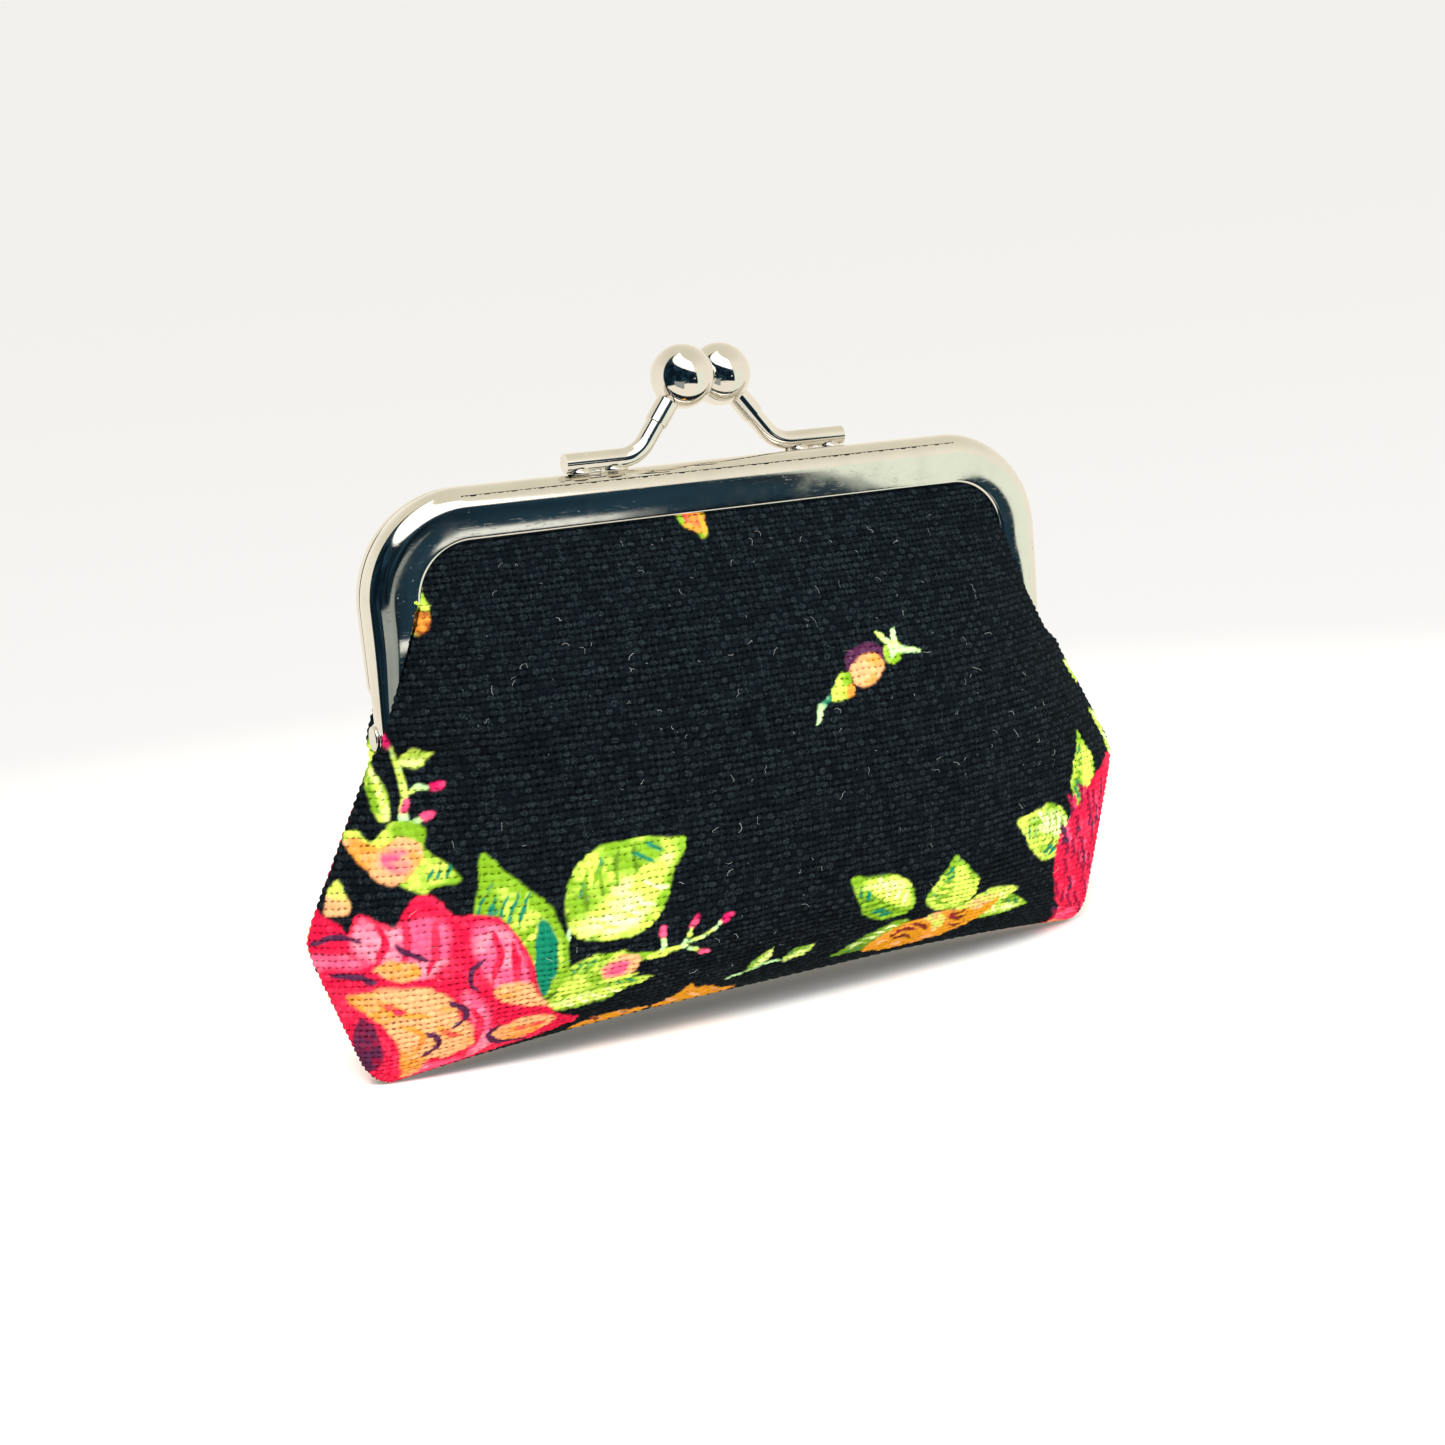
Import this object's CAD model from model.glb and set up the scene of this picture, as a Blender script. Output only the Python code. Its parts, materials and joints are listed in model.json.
import json
import math
from functools import partial

import bmesh
import bpy
import numpy as np
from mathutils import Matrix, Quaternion, Vector


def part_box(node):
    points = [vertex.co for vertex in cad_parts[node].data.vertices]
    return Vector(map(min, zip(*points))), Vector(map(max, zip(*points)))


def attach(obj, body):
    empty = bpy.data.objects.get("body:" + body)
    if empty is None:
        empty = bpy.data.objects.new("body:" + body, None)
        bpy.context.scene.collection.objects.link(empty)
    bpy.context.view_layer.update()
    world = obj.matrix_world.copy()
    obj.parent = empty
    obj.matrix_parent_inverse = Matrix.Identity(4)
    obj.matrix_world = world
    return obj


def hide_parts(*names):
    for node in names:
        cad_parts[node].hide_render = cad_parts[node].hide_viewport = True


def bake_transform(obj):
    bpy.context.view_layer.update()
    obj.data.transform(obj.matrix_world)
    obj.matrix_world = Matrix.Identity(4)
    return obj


# A kiss-lock coin purse: nickel channel frame, printed canvas pouch, wadding and lining.
# Lengths in the code are millimetres in the CAD frame. They turn to metres when a mesh is made.

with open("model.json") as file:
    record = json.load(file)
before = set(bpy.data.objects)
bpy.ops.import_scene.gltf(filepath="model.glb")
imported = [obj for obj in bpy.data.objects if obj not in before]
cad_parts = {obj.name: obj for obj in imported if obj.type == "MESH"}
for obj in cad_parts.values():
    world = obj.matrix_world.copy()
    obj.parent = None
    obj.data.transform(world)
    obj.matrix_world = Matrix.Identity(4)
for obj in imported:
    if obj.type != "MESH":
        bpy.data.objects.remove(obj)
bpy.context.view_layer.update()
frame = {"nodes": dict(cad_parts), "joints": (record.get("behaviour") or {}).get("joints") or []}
MM = 0.001
FRONT = -1
REAR = 1
HALVES = (("front", FRONT), ("rear", REAR))
HALF_NAME = {side: name for name, side in HALVES}


def cad_box(node):
    low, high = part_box(node)
    return np.array(low) / MM, np.array(high) / MM


# The frame: its outline, the sizes of its channel section, then its ears. A depth is measured from the
# middle plane between the two frames.
FRAME_LOW, FRAME_HIGH = cad_box("front_frame")
HALF_WIDTH = FRAME_HIGH[0]
FRAME_TOP = FRAME_HIGH[2]
HINGE = frame["joints"][0]["pos_m"][2] / MM
LEG_END = 36.6
CORNER = 12.0
SHOULDER = FRAME_TOP - CORNER
FACE_DEPTH = -FRAME_LOW[1]
FACE_HEIGHT = 5.9
FACE_CROWN = 0.13
FACE_BEAD = 0.5
EDGE_ROUND = 2.6
LIP_DEPTH = 0.05
LIP_HEIGHT = 4.0
STEEL = 0.4
LEG_TAPER = 0.9
EAR_HOLE = 0.75
EAR_RADIUS = 1.6
EAR_EASE = 0.06


# --- small tools ----------------------------------------------------------------------------------


def smooth(value, start, end):
    t = np.clip((np.asarray(value, float) - start) / (end - start), 0.0, 1.0)
    return t * t * (3 - 2 * t)


def spline(knots, values, at):
    """A smooth curve through the values, with slopes that never overshoot."""
    knots = np.asarray(knots, float)
    values = np.asarray(values, float)
    steps = np.diff(knots)
    rates = np.diff(values) / steps
    slopes = np.zeros_like(values)
    slopes[1:-1] = np.where(
        rates[:-1] * rates[1:] > 0, 2 * rates[:-1] * rates[1:] / (rates[:-1] + rates[1:] + 1e-12), 0
    )
    slopes[0], slopes[-1] = rates[0], rates[-1]
    at = np.clip(at, knots[0], knots[-1])
    i = np.clip(np.searchsorted(knots, at) - 1, 0, len(steps) - 1)
    h = steps[i]
    t = (at - knots[i]) / h
    return (
        values[i] * (2 * t**3 - 3 * t**2 + 1)
        + slopes[i] * h * (t**3 - 2 * t**2 + t)
        + values[i + 1] * (3 * t**2 - 2 * t**3)
        + slopes[i + 1] * h * (t**3 - t**2)
    )


def resample(line, count):
    """Points spaced evenly along a polyline."""
    line = np.asarray(line, float)
    gaps = np.linalg.norm(np.diff(line, axis=0), axis=1)
    along = np.concatenate([[0.0], np.cumsum(gaps)])
    at = np.linspace(0, along[-1], count)
    return np.stack([np.interp(at, along, column) for column in line.T], axis=1)


def ring_turns(count):
    return np.linspace(0, 2 * math.pi, count, endpoint=False)


def unit(vectors):
    """Vectors along the last axis, made one long."""
    return vectors / (np.linalg.norm(vectors, axis=-1)[..., None] + 1e-9)


def lattice_noise(u, v, seed):
    """Smooth value noise, the same each run, with about one feature per unit."""
    def corner(i, j):
        n = (i * 374761393 + j * 668265263 + seed * 2147483647) & 0xFFFFFFFF
        n = ((n ^ (n >> 13)) * 1274126177) & 0xFFFFFFFF
        return ((n ^ (n >> 16)) & 0xFFFFFF) / float(0xFFFFFF) * 2 - 1

    i, j = np.floor(u).astype(np.int64), np.floor(v).astype(np.int64)
    s, t = smooth(u - i, 0, 1), smooth(v - j, 0, 1)
    low = corner(i, j) * (1 - s) + corner(i + 1, j) * s
    high = corner(i, j + 1) * (1 - s) + corner(i + 1, j + 1) * s
    return low * (1 - t) + high * t


def make_mesh(name, points, faces):
    """A smooth-shaded mesh object from points in millimetres."""
    mesh = bpy.data.meshes.new(name)
    points = np.asarray(points, float) * MM
    faces = np.asarray(faces, np.int32)
    mesh.vertices.add(len(points))
    mesh.vertices.foreach_set("co", points.ravel())
    corners = faces.shape[1]
    mesh.loops.add(faces.size)
    mesh.loops.foreach_set("vertex_index", faces.ravel())
    mesh.polygons.add(len(faces))
    mesh.polygons.foreach_set("loop_start", np.arange(0, faces.size, corners, dtype=np.int32))
    mesh.update(calc_edges=True)
    mesh.validate()
    mesh.polygons.foreach_set("use_smooth", np.ones(len(mesh.polygons), bool))
    piece = bpy.data.objects.new(name, mesh)
    bpy.context.scene.collection.objects.link(piece)
    return piece


def recalculate_normals(piece):
    work = bmesh.new()
    work.from_mesh(piece.data)
    bmesh.ops.recalc_face_normals(work, faces=work.faces)
    work.to_mesh(piece.data)
    work.free()


def grid_faces(rows, columns, wrap=False, flip=False, first=0):
    """Quads between the points of a grid; wrap joins its last column to its first."""
    i, j = np.meshgrid(np.arange(rows - 1), np.arange(columns if wrap else columns - 1), indexing="ij")
    k = (j + 1) % columns
    quads = np.stack([i * columns + j, i * columns + k, (i + 1) * columns + k, (i + 1) * columns + j], -1)
    quads = quads.reshape(-1, 4) + first
    return quads[:, ::-1] if flip else quads


def add_values(piece, name, values, kind="FLOAT"):
    """A value for each point, which the materials read."""
    attribute = piece.data.attributes.new(name, kind, "POINT")
    field = {"FLOAT": "value", "FLOAT_VECTOR": "vector", "FLOAT_COLOR": "color"}[kind]
    attribute.data.foreach_set(field, np.asarray(values, np.float32).ravel())


# --- node tools -----------------------------------------------------------------------------------


class Nodes:
    """Short calls for building a node tree."""

    def __init__(self, tree):
        self.tree = tree
        tree.nodes.clear()

    def add(self, kind, inputs=(), **settings):
        node = self.tree.nodes.new(kind)
        for key, value in settings.items():
            setattr(node, key, value)
        for key, value in dict(inputs).items():
            self.put(node.inputs[key], value)
        return node

    def put(self, socket, value):
        if isinstance(value, bpy.types.NodeSocket):
            self.tree.links.new(value, socket)
        else:
            socket.default_value = value

    def math(self, operation, a, b=0.0, c=0.0):
        return self.add("ShaderNodeMath", {0: a, 1: b, 2: c}, operation=operation).outputs[0]

    def ramp(self, value, start, end, low=0.0, high=1.0):
        keys = {"Value": value, "From Min": start, "From Max": end, "To Min": low, "To Max": high}
        return self.add("ShaderNodeMapRange", keys, interpolation_type="SMOOTHSTEP").outputs[0]

    def mix(self, factor, a, b, blend="MIX"):
        node = self.add("ShaderNodeMix", data_type="RGBA", blend_type=blend)
        self.put(node.inputs[0], factor)
        self.put(node.inputs[6], a)
        self.put(node.inputs[7], b)
        return node.outputs[2]

    def place(self):
        return self.add("ShaderNodeTexCoord").outputs["Object"]

    def attribute(self, name, output="Fac"):
        return self.add("ShaderNodeAttribute", attribute_name=name).outputs[output]

    def noise(self, scale, detail=2.0, roughness=0.5, vector=None):
        keys = {"Scale": scale, "Detail": detail, "Roughness": roughness}
        if vector is not None:
            keys["Vector"] = vector
        return self.add("ShaderNodeTexNoise", keys).outputs["Fac"]

    def scaled(self, vector, scale, rotation=(0.0, 0.0, 0.0)):
        node = self.add("ShaderNodeMapping", {"Vector": vector, "Scale": scale, "Rotation": rotation})
        return node.outputs[0]

    def bump(self, height, strength, distance, normal=None):
        keys = {"Height": height, "Strength": strength, "Distance": distance}
        if normal is not None:
            keys["Normal"] = normal
        return self.add("ShaderNodeBump", keys).outputs[0]


def new_material(name):
    material = bpy.data.materials.new(name)
    material.use_nodes = True
    nodes = Nodes(material.node_tree)
    shader = nodes.add("ShaderNodeBsdfPrincipled")
    output = nodes.add("ShaderNodeOutputMaterial")
    nodes.put(output.inputs["Surface"], shader.outputs[0])
    return material, nodes, shader


def rgb(red, green, blue):
    """A display colour, 0 to 255, as the linear colour that shaders take."""
    def linear(channel):
        share = channel / 255
        return share / 12.92 if share <= 0.04045 else ((share + 0.055) / 1.055) ** 2.4

    return (linear(red), linear(green), linear(blue), 1.0)


# --- camera, light, stage -------------------------------------------------------------------------


# The camera's place, and how far it looks round to the right, looks down and is tilted, in degrees.
CAMERA_PLACE = (-101.11, -205.65, 67.75)
CAMERA_TURNS = (25.84, 8.64, -5.56)
FOCAL_LENGTH = 49.83


def make_camera():
    lens = bpy.data.cameras.new("camera")
    lens.sensor_width = 36.0
    lens.lens = FOCAL_LENGTH
    lens.clip_start = 0.01
    camera = bpy.data.objects.new("camera", lens)
    bpy.context.scene.collection.objects.link(camera)
    around, down, roll = (math.radians(turn) for turn in CAMERA_TURNS)
    flat = math.cos(down)
    sight = Vector((math.sin(around) * flat, math.cos(around) * flat, -math.sin(down)))
    camera.rotation_mode = "QUATERNION"
    camera.rotation_quaternion = sight.to_track_quat("-Z", "Y") @ Quaternion((0, 0, 1), roll)
    camera.location = Vector(CAMERA_PLACE) * MM
    bpy.context.scene.camera = camera


def set_view():
    """Plain display colours, so the pale surroundings stay as bright as in daylight."""
    bpy.context.scene.view_settings.view_transform = "Standard"


def room_patch(nodes, azimuth, rise, edges, soft, lean=0.0, low_lean=0.0):
    """A soft-edged area of the room between two angles and two heights, its top and foot leaning."""
    left, right, low, high = edges
    left, right = math.radians(left), math.radians(right)
    top = nodes.math("SUBTRACT", rise, nodes.math("MULTIPLY", azimuth, lean))
    foot = nodes.math("SUBTRACT", rise, nodes.math("MULTIPLY", azimuth, low_lean))
    after_left = nodes.ramp(azimuth, left - soft, left + soft)
    before_right = nodes.ramp(azimuth, right - soft, right + soft, 1.0, 0.0)
    over_foot = nodes.ramp(foot, low - soft, low + soft)
    under_top = nodes.ramp(top, high - soft, high + soft, 1.0, 0.0)
    sides = nodes.math("MULTIPLY", after_left, before_right)
    return nodes.math("MULTIPLY", sides, nodes.math("MULTIPLY", over_foot, under_top))


def make_world():
    """A bright room with a dark area low in front, which the polished metal mirrors."""
    world = bpy.data.worlds.new("room")
    bpy.context.scene.world = world
    world.use_nodes = True
    nodes = Nodes(world.node_tree)
    ray = nodes.add("ShaderNodeTexCoord").outputs["Generated"]
    parts = nodes.add("ShaderNodeSeparateXYZ", {0: ray}).outputs
    azimuth = nodes.math("ARCTAN2", parts[0], nodes.math("MULTIPLY", parts[1], -1.0))
    rise = parts[2]
    room = nodes.mix(nodes.ramp(rise, 0.25, 0.95), (1.0, 0.95, 0.83, 1), (0.80, 0.76, 0.62, 1))
    cloudy = nodes.ramp(nodes.noise(3.1, 3.0, 0.6, ray), 0.42, 0.66)
    murk = nodes.mix(cloudy, (0.004, 0.010, 0.017, 1), (0.018, 0.05, 0.08, 1))
    # Left and right in degrees from the front, low and high as the ray's rise: a window above, the dark
    # area, a small gleam in it, and the pale wall at its right.
    seen = room
    for edges, soft, lean, low_lean, colour in (
        ((-75, 23, 0.22, 0.90), 0.03, -0.5, 0.0, (1.9, 1.9, 1.86, 1)),
        ((-96, 36, -0.46, 0.32), 0.03, -0.42, 0.0, murk),
        ((18.0, 24.0, -0.225, -0.165), 0.012, 0.0, 0.0, (0.95, 0.97, 0.92, 1)),
        ((28.4, 64, 1.79, 0.13), 0.02, 0.0, -3.6, (0.92, 0.98, 0.84, 1)),
    ):
        seen = nodes.mix(room_patch(nodes, azimuth, rise, edges, soft, lean, low_lean), seen, colour)
    mirrored = nodes.add("ShaderNodeBackground", {"Color": seen, "Strength": 1.0}).outputs[0]
    fade = nodes.ramp(rise, -0.25, 0.12)
    backdrop = nodes.mix(fade, (0.97, 0.955, 0.94, 1), (0.885, 0.875, 0.85, 1))
    plain = nodes.add("ShaderNodeBackground", {"Color": backdrop, "Strength": 1.0}).outputs[0]
    to_camera = nodes.add("ShaderNodeLightPath").outputs["Is Camera Ray"]
    both = nodes.add("ShaderNodeMixShader", {0: to_camera, 1: mirrored, 2: plain})
    nodes.add("ShaderNodeOutputWorld", {"Surface": both.outputs[0]})


def make_light(name, place, size, power, colour):
    lamp = bpy.data.lights.new(name, "AREA")
    lamp.shape = "DISK"
    lamp.size = size
    lamp.energy = power
    lamp.color = colour
    light = bpy.data.objects.new(name, lamp)
    bpy.context.scene.collection.objects.link(light)
    light.location = place
    light.rotation_mode = "QUATERNION"
    light.rotation_quaternion = (Vector((0, 0, 0.035)) - Vector(place)).to_track_quat("-Z", "Y")
    light.visible_glossy = False


def make_lights():
    make_light("key", (-0.35, -0.55, 0.75), 0.35, 9.0, (1.0, 0.98, 0.95))
    make_light("fill", (0.5, -0.5, 0.35), 0.4, 3.0, (0.97, 0.98, 1.0))


def make_reflector():
    """A grey card low in front, seen only in the metal of the left leg and the balls."""
    corners = [(-96, -66, 6), (-27, -62, 6), (-24, -62, 46), (-14, -62, 54), (-40, -62, 48), (-96, -66, 44)]
    card = make_mesh("reflector", corners, [range(len(corners))])
    material = bpy.data.materials.new("reflector_grey")
    material.use_nodes = True
    nodes = Nodes(material.node_tree)
    place = nodes.place()
    shade = nodes.mix(nodes.noise(18.0, 1.0, vector=place), (0.20, 0.23, 0.23, 1), (0.46, 0.50, 0.46, 1))
    glow = nodes.add("ShaderNodeEmission", {"Color": shade, "Strength": 1.0}).outputs[0]
    nodes.add("ShaderNodeOutputMaterial", {"Surface": glow})
    card.data.materials.append(material)
    card.visible_camera = False
    card.visible_diffuse = False
    card.visible_shadow = False
    card.visible_transmission = False


def make_floor():
    """A pale floor that fades out round the purse, so that no horizon shows."""
    steps = 96
    rings = (0.0, 150.0, 400.0, 1000.0, 2500.0)
    points = [(r * math.cos(a), r * math.sin(a), 0.0) for r in rings for a in ring_turns(steps)]
    floor = make_mesh("floor", points, grid_faces(len(rings), steps, wrap=True))
    material, nodes, shader = new_material("pale_floor")
    shade = nodes.noise(14.0, 3.0)
    nodes.put(shader.inputs["Base Color"], nodes.mix(shade, rgb(247, 246, 246), rgb(252, 251, 250)))
    shader.inputs["Roughness"].default_value = 0.9
    place = nodes.place()
    reach = nodes.add("ShaderNodeVectorMath", {0: place}, operation="LENGTH").outputs["Value"]
    nodes.put(shader.inputs["Alpha"], nodes.ramp(reach, 0.12, 0.34, 1.0, 0.0))
    floor.data.materials.append(material)
    floor.visible_glossy = False


# --- metal ----------------------------------------------------------------------------------------


def nickel(name, tint, roughness, grain):
    """Bright nickel plate with fine scratches, smudges and a soft orange-peel ripple."""
    material, nodes, shader = new_material(name)
    place = nodes.place()
    smudge = nodes.noise(260.0, 4.0, 0.6, place)
    fine = nodes.noise(2600.0, 3.0, 0.7, nodes.scaled(place, (0.25, 1.0, 2.0), (0.3, 0.2, 0.5)))
    ripple = nodes.noise(grain, 2.0, 0.4, place)
    base = nodes.mix(nodes.ramp(smudge, 0.35, 0.75), tint + (1.0,), tuple(c * 0.93 for c in tint) + (1.0,))
    dust = nodes.ramp(nodes.noise(3400.0, 2.0, 0.55, place), 0.735, 0.76)
    dust = nodes.math("MULTIPLY", dust, nodes.ramp(nodes.noise(190.0, 2.0, 0.5, place), 0.5, 0.62))
    base = nodes.mix(dust, base, (0.75, 0.76, 0.76, 1))
    nodes.put(shader.inputs["Metallic"], nodes.math("MULTIPLY_ADD", dust, -0.8, 1.0))
    nodes.put(shader.inputs["Base Color"], base)
    rough = nodes.ramp(smudge, 0.45, 0.8, roughness, roughness * 2.2)
    nodes.put(shader.inputs["Roughness"], rough)
    scratch = nodes.bump(nodes.ramp(fine, 0.58, 0.72), 0.05, 0.00002)
    nodes.put(shader.inputs["Normal"], nodes.bump(ripple, 0.05, 0.0001, scratch))
    return material


# --- frames ---------------------------------------------------------------------------------------


def frame_path():
    """Stations round the frame's outline, from the left leg's end to the right's: place and inward way."""
    stations = []
    for z in np.linspace(LEG_END, SHOULDER, 60, endpoint=False):
        stations.append((-HALF_WIDTH, z, 1.0, 0.0))
    for angle in np.linspace(math.pi, math.pi / 2, 48, endpoint=False):
        way = (math.cos(angle), math.sin(angle))
        x = -HALF_WIDTH + CORNER + CORNER * way[0]
        stations.append((x, SHOULDER + CORNER * way[1], -way[0], -way[1]))
    for x in np.linspace(-HALF_WIDTH + CORNER, 0, 60):
        stations.append((x, FRAME_TOP, 0.0, -1.0))
    left = np.array(stations)
    right = left[-2::-1] * np.array([-1, 1, -1, 1])
    return np.concatenate([left, right])


def leg_depth(z):
    """How far the face stands from the middle: the legs grow slimmer towards the hinge."""
    return FACE_DEPTH - LEG_TAPER * smooth(z, 49.0, LEG_END)


def channel_section(face, lip, depth, lip_round, edge_round):
    """The closed outline of the channel: distance in from the frame's edge, and depth."""
    outer = [(u, LIP_DEPTH) for u in np.linspace(lip, lip_round + 0.05, 8)]
    for a in np.linspace(0, math.pi / 2, 5)[1:]:
        outer.append((lip_round * (1 - math.sin(a)), LIP_DEPTH + lip_round * (1 - math.cos(a))))
    for a in np.linspace(0, math.pi / 2, 17):
        outer.append((edge_round * (1 - math.cos(a)), depth - edge_round * (1 - math.sin(a))))
    bead_start = face - FACE_BEAD
    for t in np.linspace(0, 1, 14)[1:]:
        outer.append((edge_round + (bead_start - edge_round) * t, depth - FACE_CROWN * t * t))
    for a in np.linspace(0, math.pi * 0.62, 9)[1:]:
        fall = FACE_CROWN + FACE_BEAD * (1 - math.cos(a))
        outer.append((bead_start + FACE_BEAD * math.sin(a), depth - fall))
    outer = np.array(outer)
    way = unit(np.gradient(outer, axis=0))
    inner = outer + STEEL * np.stack([way[:, 1], -way[:, 0]], axis=1)
    return np.concatenate([outer, inner[::-1]])


def frame_ring(station, side):
    """The channel's outline at one station. The legs narrow, and the rear ones step inside the front."""
    x, z, in_x, in_z = station
    face, lip, depth, step = FACE_HEIGHT, LIP_HEIGHT, FACE_DEPTH, 0.0
    if z < SHOULDER:
        face -= 1.9 * float(smooth(z, LEG_END + 14.0, LEG_END))
        lip -= 3.55 * float(smooth(z, 44.0, 41.2))
        depth = float(leg_depth(z))
        step = 0.5 * float(smooth(z, 43.2, 41.2)) if side == REAR else 0.0
    lip_round = 0.3 - 0.22 * float(smooth(z, 57.0, 50.0))
    edge_round = EDGE_ROUND + 0.4 * float(smooth(abs(x), 10.0, 36.0)) * float(smooth(z, 44.0, 52.0))
    edge_round = min(edge_round, 0.8 * (depth - LIP_DEPTH - lip_round))
    section = channel_section(face, lip, depth, lip_round, edge_round)
    u = section[:, 0] + step
    return np.stack([x + in_x * u, side * section[:, 1], z + in_z * u], axis=1)


def end_caps(rings, count):
    """The faces that close both ends of the channel's sheet metal."""
    caps = []
    for first in (0, (rings - 1) * count):
        for k in range(count // 2 - 1):
            caps.append([first + k, first + k + 1, first + count - 2 - k, first + count - 1 - k])
    return np.array(caps)


def ear_plate(way, outer_face):
    """A flat round ear with a hole, on the hinge axis, its edges eased."""
    steps = 48
    turns = ring_turns(steps)
    near, far = way * (outer_face - STEEL), way * outer_face
    ease, shoulder = way * EAR_EASE, EAR_RADIUS - EAR_EASE
    profile = [
        (EAR_HOLE, near), (shoulder, near), (EAR_RADIUS, near + ease), (EAR_RADIUS, far - ease),
        (shoulder, far), (EAR_HOLE, far), (EAR_HOLE, near),
    ]
    rings = [
        np.stack([np.full(steps, x), r * np.cos(turns), HINGE + r * np.sin(turns)], axis=1)
        for r, x in profile
    ]
    return np.concatenate(rings), grid_faces(len(profile), steps, wrap=True)


def make_frame_mesh(name, side):
    rings = [frame_ring(station, side) for station in frame_path()]
    count = len(rings[0])
    points = np.concatenate(rings)
    faces = grid_faces(len(rings), count, wrap=True, flip=side == REAR)
    faces = np.concatenate([faces, end_caps(len(rings), count)])
    outer_face = HALF_WIDTH - (0.02 if side == FRONT else 0.52)
    for way in (-1, 1):
        ear_points, ear_faces = ear_plate(way, outer_face)
        faces = np.concatenate([faces, ear_faces + len(points)])
        points = np.concatenate([points, ear_points])
    piece = make_mesh(name, points, faces)
    recalculate_normals(piece)
    return piece


def make_frames(material):
    for half, side in HALVES:
        piece = make_frame_mesh(f"{half}_frame_steel", side)
        piece.data.materials.append(material)
        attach(piece, f"{half}_half")
        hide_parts(f"{half}_frame")


def make_solder(material):
    """The low seam of solder that joins each wire's foot to the top of its frame."""
    steps, round_steps = 40, 16
    turns = ring_turns(round_steps)
    for half, side in HALVES:
        low, high = cad_box(f"{half}_clasp_arm")
        outer = low[0] if side == FRONT else high[0]
        start, end = outer - side * 0.7, outer - side * 7.6
        middle = side * (FACE_DEPTH + LIP_DEPTH) / 2
        rings = []
        for t in np.linspace(0, 1, steps):
            swell = max(math.sin(math.pi * t), 0.0) ** 0.35 * (0.9 + 0.12 * math.sin(19 * t + side))
            across = np.full(round_steps, start + (end - start) * t)
            depth = middle + (0.62 * swell + 0.01) * np.cos(turns)
            height = FRAME_TOP + 0.02 + (0.34 * swell + 0.01) * np.sin(turns)
            rings.append(np.stack([across, depth, height], axis=1))
        faces = grid_faces(steps, round_steps, wrap=True)
        piece = make_mesh(f"{half}_solder", np.concatenate(rings), faces)
        recalculate_normals(piece)
        piece.data.materials.append(material)
        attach(piece, f"{half}_half")


def plied_cord(name, path, radius, pitch, material):
    """A cord of two twisted plies along a path."""
    gaps = np.linalg.norm(np.diff(path, axis=0), axis=1)
    along = np.concatenate([[0.0], np.cumsum(gaps)])
    ahead = unit(np.gradient(path, axis=0))
    out = unit(np.cross(ahead, np.array([0.0, 1.0, 0.0])))
    up = np.cross(out, ahead)
    round_steps = 10
    turns = ring_turns(round_steps)[None, :, None]
    ring = 0.52 * radius * (np.cos(turns) * out[:, None, :] + np.sin(turns) * up[:, None, :])
    points, faces = [], []
    for ply in (0, 1):
        angle = (2 * math.pi * (along / pitch + ply / 2))[:, None]
        centre = path + 0.48 * radius * (np.cos(angle) * out + np.sin(angle) * up)
        points.append((centre[:, None, :] + ring).reshape(-1, 3))
        faces.append(grid_faces(len(path), round_steps, wrap=True, first=ply * len(path) * round_steps))
    piece = make_mesh(name, np.concatenate(points), np.concatenate(faces))
    recalculate_normals(piece)
    piece.data.materials.append(material)
    return piece


def make_packing_cords(material):
    """The twisted paper cord that jams the cloth's edge in each channel."""
    for half, _ in HALVES:
        low, high = cad_box(f"{half}_packing_cord")
        radius = (high[1] - low[1]) / 2
        inset = HALF_WIDTH - high[0] + radius
        middle = (low[1] + high[1]) / 2
        path = [(x + in_x * inset, middle, z + in_z * inset) for x, z, in_x, in_z in frame_path()]
        path = [point for point in path if point[2] > low[2] + 0.2]
        piece = plied_cord(f"{half}_paper_cord", resample(path, 420), radius, 3.0, material)
        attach(piece, f"{half}_half")
        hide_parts(f"{half}_packing_cord")


def make_seam_threads(material):
    """The stitches that close each side seam, from the fold up to the hinge."""
    for name, way in (("left", -1), ("right", 1)):
        low, high = cad_box(f"{name}_seam_thread")
        heights = np.linspace(low[2] + 0.3, high[2] - 0.2, 260)
        across = way * (seam_half_width(heights, way) - 1.3)
        run = np.cumsum(np.hypot(np.gradient(across), np.gradient(heights)))
        stitch = 0.24 * np.tanh(2.4 * np.sin(2 * math.pi * run / 2.5))
        path = np.stack([across, stitch, heights], axis=1)
        piece = plied_cord(f"{name}_stitches", path, 0.13, 0.8, material)
        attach(piece, "bag")
        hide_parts(f"{name}_seam_thread")


# --- cloth shape ----------------------------------------------------------------------------------

# The outer face of the canvas down the middle of a panel, from the base's centre line to the channel:
# half depth and height.
PROFILE = np.array([
    (0.0, 0.0), (1.8, 0.0), (3.6, 0.2), (5.7, 0.9), (8.0, 2.6), (10.7, 6.2), (12.8, 12.0),
    (13.7, 19.0), (13.9, 25.0), (13.6, 31.0), (12.9, 36.0), (11.9, 40.3), (10.2, 45.0), (8.0, 49.7),
    (5.7, 53.6), (3.9, 56.2), (3.0, 57.4), (3.0, 59.4), (3.0, 62.2),
])
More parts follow.
